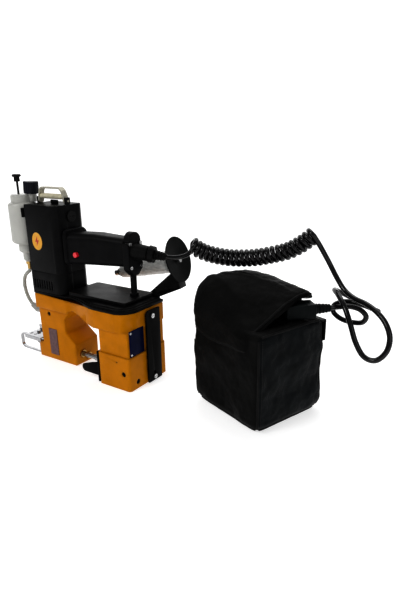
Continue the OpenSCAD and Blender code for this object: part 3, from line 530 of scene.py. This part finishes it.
# --- Pouch -----------------------------------------------------------------------

POUCH = Matrix.Translation((0.191, 0.027, 0)) @ Matrix.Rotation(math.radians(-20), 4, "Z")


def blend_table(table, at):
    """Linear interpolation in a list of (position, value) pairs."""
    for (a, low), (b, high) in zip(table, table[1:]):
        if at <= b:
            return low + (high - low) * min(1, max(0, (at - a) / (b - a)))
    return table[-1][1]


LEFT_RIDGE = [(-57, 143), (-46, 162), (-32, 171.5), (-10, 173.5), (12, 172.5), (34, 168),
              (56, 161)]
RIGHT_EDGE = [(-57, 120), (-30, 136), (0, 151.5), (24, 159), (40, 160), (56, 154)]


def flap_height(x, y):
    """Height of the flap's upper face over a place on the pouch."""
    across = min(1, max(0, (x + 50) / 96))
    crown = 3 * math.sin(math.pi * across)
    low = blend_table(RIGHT_EDGE, y)
    return blend_table(LEFT_RIDGE, y) * (1 - ease(across)) + low * ease(across) + crown * 0.4


def wrinkle(point, size, amount):
    """A soft push along the normal, the same on every run."""
    return amount * noise.fractal(point / size, 1.0, 2.1, 4)


def pressed(x, y, z, power):
    """A place on a cube's surface, moved onto a superellipsoid."""
    bulk = (abs(x) ** power + abs(y) ** power + abs(z) ** power) ** (1 / power)
    return Vector((x, y, z)) / bulk


def pillow(cuts, power, reshape, wrinkles):
    """A stuffed box: a gridded cube pressed to a superellipsoid, then reshaped and wrinkled."""
    shape = bmesh.new()
    bmesh.ops.create_cube(shape, size=2)
    bmesh.ops.subdivide_edges(shape, edges=shape.edges, cuts=cuts, use_grid_fill=True)
    for vert in shape.verts:
        vert.co = reshape(pressed(*vert.co, power))
    shape.normal_update()
    pushes = [vert.normal * wrinkles(vert.co) for vert in shape.verts]
    for vert, push in zip(shape.verts, pushes):
        vert.co = POUCH @ ((vert.co + push) * MM)
    return shape


BODY_HALF = (62, 55)
BODY_TOP = 127
BODY_POWER = 15
BULGE = 0.02
FOOT_PULL = 0.05
FOOT_SHARE = 0.09
FOLD_MIDDLE = 40
FOLD_REACH = 30


def body_shape(unit):
    """The body's skin: it bulges a little and its foot is drawn in."""
    t = (unit.z + 1) / 2
    sag = 1 + BULGE * math.sin(math.pi * t) - FOOT_PULL * (1 - ease(t / FOOT_SHARE))
    return Vector((BODY_HALF[0] * unit.x * sag, BODY_HALF[1] * unit.y * sag, BODY_TOP * t))


def body_wrinkles(point):
    """Soft dents all over, and level folds low down; none where the body rests."""
    folds = math.sin(point.z / 9 + 0.6 * math.sin((point.x + point.y) / 17))
    low = math.exp(-((point.z - FOLD_MIDDLE) / FOLD_REACH) ** 2)
    inside = min(1, point.z / 14)
    return (wrinkle(point, 34, 2.8) + 0.9 * folds * low - 0.6) * inside


FLAP_LOW = 99
FLAP_POWER = 8
FLAP_CENTRE = (-8.6, -0.6)
FLAP_HALF = (57, 58.2)
FLARE = 2.6
FLARE_LEVEL = 125
HOLLOW = 27


def flap_shape(unit):
    """The flap's skin: a lid over the left of the pouch, hollowed under its right edge."""
    x = FLAP_CENTRE[0] + FLAP_HALF[0] * unit.x
    y = FLAP_CENTRE[1] + FLAP_HALF[1] * unit.y
    t = (unit.z + 1) / 2
    top = flap_height(x, y)
    low = FLAP_LOW + 2.5 * math.sin(x / 14)
    level = low + (top - low) * t
    if unit.x < 0:
        x += FLARE * unit.x * math.exp(-((level - FLARE_LEVEL) / 26) ** 2)
    else:
        opening = ease((y + 34) / 30) * (1 - ease((t - 0.74) / 0.14))
        x -= HOLLOW * opening * unit.x ** 3
    return Vector((x, y, level))


def flap_wrinkles(point):
    """Soft dents, and folds where the opening's edge pulls at the cloth."""
    pull = math.sin((point.y + 0.4 * point.x) / 12) * math.exp(-((point.x - 20) / 28) ** 2)
    return wrinkle(point, 34, 2.4) + 0.7 * pull


CUTS = 62
pouch_body = place("pouch_body", as_mesh("pouch_body", pillow(CUTS, BODY_POWER, body_shape,
                                                              body_wrinkles)),
                   LOOKS["pouch_fabric"], "frame", 60)
pouch_flap = place("pouch_flap", as_mesh("pouch_flap", pillow(CUTS, FLAP_POWER, flap_shape,
                                                              flap_wrinkles)),
                   LOOKS["pouch_fabric"], "frame", 60)
# Faces that look along the pouch's local +X take the lighter, bluer copy of the fabric: painted
# light on that side.
pouch_body.data.materials.append(EXTRA["pouch_side_lit_tint"])
lit_side_direction = (POUCH.to_3x3() @ Vector((1, 0, 0)))
for face in pouch_body.data.polygons:
    if face.normal.dot(lit_side_direction) > 0.7:
        face.material_index = 1
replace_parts(pouch_body, "battery_pouch")


OUTWARD_POWER = 7
PIPING_R = 1.5


def trim_route(places, skin, power, wrinkles):
    """A route in metres over a pillow's wrinkled skin, through places on the cube it comes from."""
    points = []
    for at in places:
        unit = pressed(*at, power)
        outward = Vector([value ** OUTWARD_POWER for value in unit]).normalized()
        points.append(skin(unit) + outward * wrinkles(skin(unit)))
    return [POUCH @ (point * MM) for point in smooth(points, 3)]


SPAN = [-0.94 + 0.094 * i for i in range(21)]
UNDER_FLAP = SPAN[:15]
BODY_TRIMS = {
    "front_right_piping": [(1, -1, t) for t in SPAN],
    "front_left_piping": [(-1, -1, t) for t in UNDER_FLAP],
    "back_right_piping": [(1, 1, t) for t in SPAN],
    "top_right_piping": [(1, t, 1) for t in SPAN],
    "bottom_right_piping": [(1, t, -1) for t in SPAN],
    "bottom_front_piping": [(t, -1, -1) for t in SPAN],
}
FLAP_TRIMS = {
    "flap_side_hem": [(1, t, 0.96) for t in SPAN],
    "flap_front_hem": [(t, -1, -0.93) for t in SPAN],
}
for trims, skin in ((BODY_TRIMS, (body_shape, BODY_POWER, body_wrinkles)),
                    (FLAP_TRIMS, (flap_shape, FLAP_POWER, flap_wrinkles))):
    for name, places in trims.items():
        place(name, as_mesh(name, tube(trim_route(places, *skin), PIPING_R, 8)),
              EXTRA["webbing"], "frame")


THREAD = (0.7, 0.9)
THREAD_SHARE = 0.65


def stitches(name, places):
    """A row of short threads over the body's skin."""
    route = trim_route(places, body_shape, BODY_POWER, body_wrinkles)
    shape = bmesh.new()
    for start, end in zip(route, route[1:]):
        stop = start.lerp(end, THREAD_SHARE)
        across = (stop - start).to_track_quat("X", "Z").to_matrix().to_4x4()
        block(shape, ((stop - start).length / MM, *THREAD),
              Matrix.Translation((start + stop) / 2) @ across, 0.2)
    place(name, as_mesh(name, shape), EXTRA["stitching"], "frame")


stitches("front_stitches", [(1.01, -0.9, t) for t in SPAN])
stitches("back_stitches", [(1.01, 0.9, t) for t in SPAN])


LOOP_STRIPS = [((47, 63.2, 106.5), (21.4, 2, 28.4)), ((47, 59.5, 93.4), (21.4, 9, 2)),
               ((47, 59.5, 119.6), (21.4, 9, 2))]


def belt_loop():
    """A strip of webbing standing off the pouch's back."""
    shape = bmesh.new()
    for centre, size in LOOP_STRIPS:
        block(shape, size, POUCH @ Matrix.Translation(Vector(centre) * MM), 0.8)
    return shape


place("belt_loop", as_mesh("belt_loop", belt_loop()), EXTRA["webbing"], "frame")


# --- Thread spool ----------------------------------------------------------------

ROD_TURN = math.radians(7)
ROD_RISE = math.radians(15.5)
ROD_END = (30, 79.5, 167.5)
spool_axis = (math.cos(ROD_RISE) * math.cos(ROD_TURN), math.cos(ROD_RISE) * math.sin(ROD_TURN),
              math.sin(ROD_RISE))
spool_frame = along(ROD_END, spool_axis)


def cross_winding(angle, height):
    """Ridges of two crossing sets of thread."""
    if not NARROW_END[-1][1] < height < -12:
        return 0
    up = math.sin(9 * angle + height * 0.75)
    down = math.sin(9 * angle - height * 0.75)
    return 0.28 * max(up, down) + 0.2 * math.sin(height * 0.21 + 2 * angle)


CONE_RINGS = 88
NARROW_END = [(3.2, -111.9), (5.4, -111.9), (5.6, -107), (9.6, -106)]
WIDE_END = [(17, -15), (15, -12.4), (7.2, -11), (7, -8.1), (3.2, -8.1)]
CORE = [(5.7, -111.95), (6.2, -111.6), (6.3, -108), (8.6, -106.4), (9.9, -105.4), (10.25, -104),
        (9.7, -101)]
taper = [(10.1 + 7.4 * i / CONE_RINGS, -105 + 89 * i / CONE_RINGS) for i in range(CONE_RINGS + 1)]
cone = NARROW_END + taper + WIDE_END
winding = place("wound_cone", as_mesh("wound_cone", lathe(cone, spool_frame, 144, cross_winding)),
                LOOKS["thread_white"], "spool", 60)
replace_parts(winding, "thread_spool")
place("cone_core", as_mesh("cone_core", lathe(CORE, spool_frame, 48)), EXTRA["film"], "spool")


# --- Small parts -----------------------------------------------------------------

def oval(centre, half_x, half_z, depth):
    """A thin oval disc standing on a face that looks along -Y."""
    shape = bmesh.new()
    made = bmesh.ops.create_cone(shape, cap_ends=True, segments=64, radius1=1, radius2=1, depth=1)
    for vert in made["verts"]:
        x, y, z = vert.co
        vert.co = Vector((centre[0] + x * half_x, centre[1] - (z + 0.5) * depth,
                          centre[2] + y * half_z)) * MM
    return shape


def bolt_symbol(centre, size, depth):
    """A zigzag bolt standing on a face that looks along -Y."""
    outline = [(0.15, 1), (-0.55, -0.12), (-0.08, -0.12), (-0.22, -1), (0.55, 0.22),
               (0.08, 0.22)]
    shape = bmesh.new()
    for k in (0, 1):
        shape.faces.new([shape.verts.new(Vector((centre[0] + x * size, centre[1] - k * depth,
                                                 centre[2] + z * size)) * MM)
                         for x, z in outline])
    near, far = [list(face.verts) for face in shape.faces]
    for i in range(len(near)):
        j = (i + 1) % len(near)
        shape.faces.new((near[i], near[j], far[j], far[i]))
    return shape


DISC_AT = (-154, -27, 196)
SIGN_AT = (-154, -27.22, 196)
place("warning_disc", as_mesh("warning_disc", oval(DISC_AT, 11, 13.4, 0.25)), EXTRA["sticker"],
      "frame")
place("bolt_sign", as_mesh("bolt_sign", bolt_symbol(SIGN_AT, 8, 0.15)), EXTRA["symbol"],
      "frame")


# Holes in the casting, each given a dark disc inside that paints the shade of its depth.
HOLES = [((-153.6, -19.8, 78.6), (0, 1, 0), 3.4), ((18.8, -40.8, 24.9), (0, 1, 0), 3.7),
         ((6.8, -41.2, 40.9), (0, 1, 0), 1.2), ((28.8, -24, 10), (-1, 0, 0), 3.9)]
SHADE_FILL_PROFILE = [(0.5, 0.9), (0.62, 0.1), (1, 0), (1, 2), (0.55, 2.01)]


def hole_shade_fills():
    """Dark dimpled discs set a little way into the casting's front and right holes: painted shade
    that stands for the holes' dark depth.
    """
    shape = bmesh.new()
    for at, inward, radius in HOLES:
        add(shape, lathe([(radius * share, height) for share, height in SHADE_FILL_PROFILE],
                         along(at, inward), 32))
    return shape


# The discs take the black rubber look: a dark fill where the holes hold only shade.
place("hole_shade_fills", as_mesh("hole_shade_fills", hole_shade_fills()), LOOKS["black_rubber"], "frame")


ROLLER_AT = (-168.7, 2, 260.75)
ROLLER = [(3.3, 0), (4, 0.8), (4, 51.2), (3.3, 52)]
roller = lathe(ROLLER, along(ROLLER_AT, (1, 0, 0)), 40)
place("bail_roller", as_mesh("bail_roller", roller), EXTRA["cream"], "bail")


# --- Stage -------------------------------------------------------------------------

MIDDLE = Vector((0.02, 0, 0.12))
WORLD_LIGHT = 0.3
CAMERA_AT = Vector((0.4574, -0.5024, 0.3327))
PITCH, YAW, ROLL = (math.radians(angle) for angle in (17.7, 33.7, -0.9))
LENS = 29.447
TONE = 0.76


def pale_sheet(name, size, at, turn, glow):
    """A large plain sheet round the object."""
    bpy.ops.mesh.primitive_plane_add(size=size, location=at, rotation=turn)
    sheet = bpy.context.object
    sheet.name = name
    sheet.data.materials.append(surface("pale_" + name, (0.6, 0.6, 0.6), 0.9, vary=0.01, cloud=3,
                                        bump=0.02, specular=0.05, rounding=0.1, glow=glow))


def area_light(name, at, size, power):
    """A round soft light aimed at the middle of the object."""
    data = bpy.data.lights.new(name, "AREA")
    data.shape = "DISK"
    data.size = size
    data.energy = power
    obj = bpy.data.objects.new(name, data)
    bpy.context.scene.collection.objects.link(obj)
    obj.location = at
    obj.rotation_euler = (MIDDLE - Vector(at)).to_track_quat("-Z", "Y").to_euler()


def studio():
    """An even pale world and three soft lights."""
    world = bpy.data.worlds.new("studio")
    bpy.context.scene.world = world
    world.use_nodes = True
    world.node_tree.nodes["Background"].inputs["Color"].default_value = (1, 1, 1, 1)
    world.node_tree.nodes["Background"].inputs["Strength"].default_value = WORLD_LIGHT
    area_light("key", (-0.5, -1.3, 1.3), 0.6, 13)
    area_light("fill", (1.3, -0.6, 0.7), 0.9, 3.5)
    area_light("top", (0.1, 0.5, 1.5), 0.8, 6)


def camera():
    """The viewpoint: turned right of the front and looking down, with a slight roll."""
    back = Vector((math.sin(YAW) * math.cos(PITCH), -math.cos(YAW) * math.cos(PITCH),
                   math.sin(PITCH)))
    level = Vector((math.cos(YAW), math.sin(YAW), 0))
    upright = back.cross(level)
    right = math.cos(ROLL) * level + math.sin(ROLL) * upright
    up = math.cos(ROLL) * upright - math.sin(ROLL) * level
    data = bpy.data.cameras.new("camera")
    data.sensor_width = 36
    data.lens = LENS
    data.clip_start = 0.01
    obj = bpy.data.objects.new("camera", data)
    bpy.context.scene.collection.objects.link(obj)
    obj.matrix_world = Matrix((right, up, back)).transposed().to_4x4()
    obj.matrix_world.translation = CAMERA_AT
    bpy.context.scene.camera = obj


pale_sheet("floor", 9, (0, 0, -0.0006), (0, 0, 0), 1.1)
pale_sheet("backdrop", 12, (-2.4, 3.8, 2), (math.radians(90), 0, YAW), 2.1)
studio()
camera()
view = bpy.context.scene.view_settings
view.view_transform = "Standard"
view.gamma = TONE
